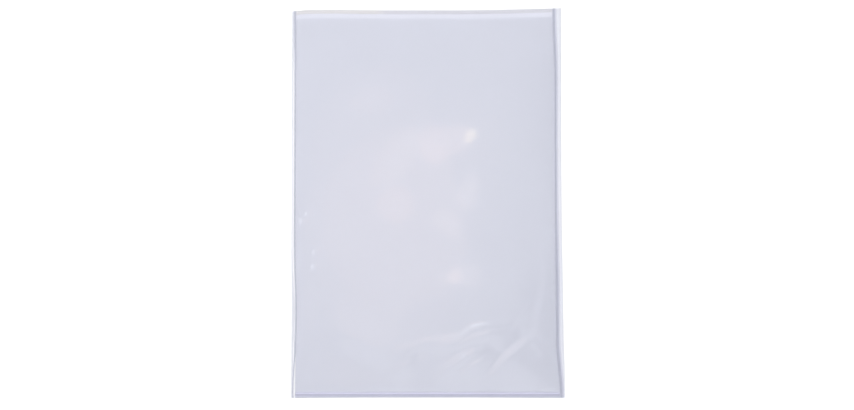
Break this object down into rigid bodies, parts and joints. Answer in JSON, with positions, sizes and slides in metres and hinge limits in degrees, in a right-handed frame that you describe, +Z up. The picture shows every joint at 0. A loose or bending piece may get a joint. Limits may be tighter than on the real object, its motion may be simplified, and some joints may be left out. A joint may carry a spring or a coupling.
{
  "type": "sheet protector",
  "caption": "Clear vinyl sheet protector, a flat portrait sleeve welded along its sides and bottom, whose front film lifts at the open top to take a sheet.",
  "frame": {"origin": "under the middle of the sleeve, on the surface that its back film lies on", "axes": "+Z up out of the front film, +Y up the sleeve to the open mouth, +X to the right seen from the front"},
  "size_m": [0.2208, 0.3148, 0.0009],
  "materials": {
    "clear_film": "clear plasticised vinyl with a faint blue tint, smooth gloss",
    "fused_film": "two layers of the same vinyl welded into one, gloss, with a bead along the pocket"
  },
  "bodies": {
    "sleeve": {"back_film": "clear_film", "mouth_hem": "clear_film", "left_weld": "fused_film", "right_weld": "fused_film", "bottom_weld": "fused_film"},
    "front": {"front_film": "clear_film"}
  },
  "joints": [
    {"name": "mouth_opening", "type": "hinge", "parent": "sleeve", "child": "front", "pos_m": [0, -0.15343, 0.00077], "axis": [1, 0, 0], "range_deg": [0, 4]}
  ]
}
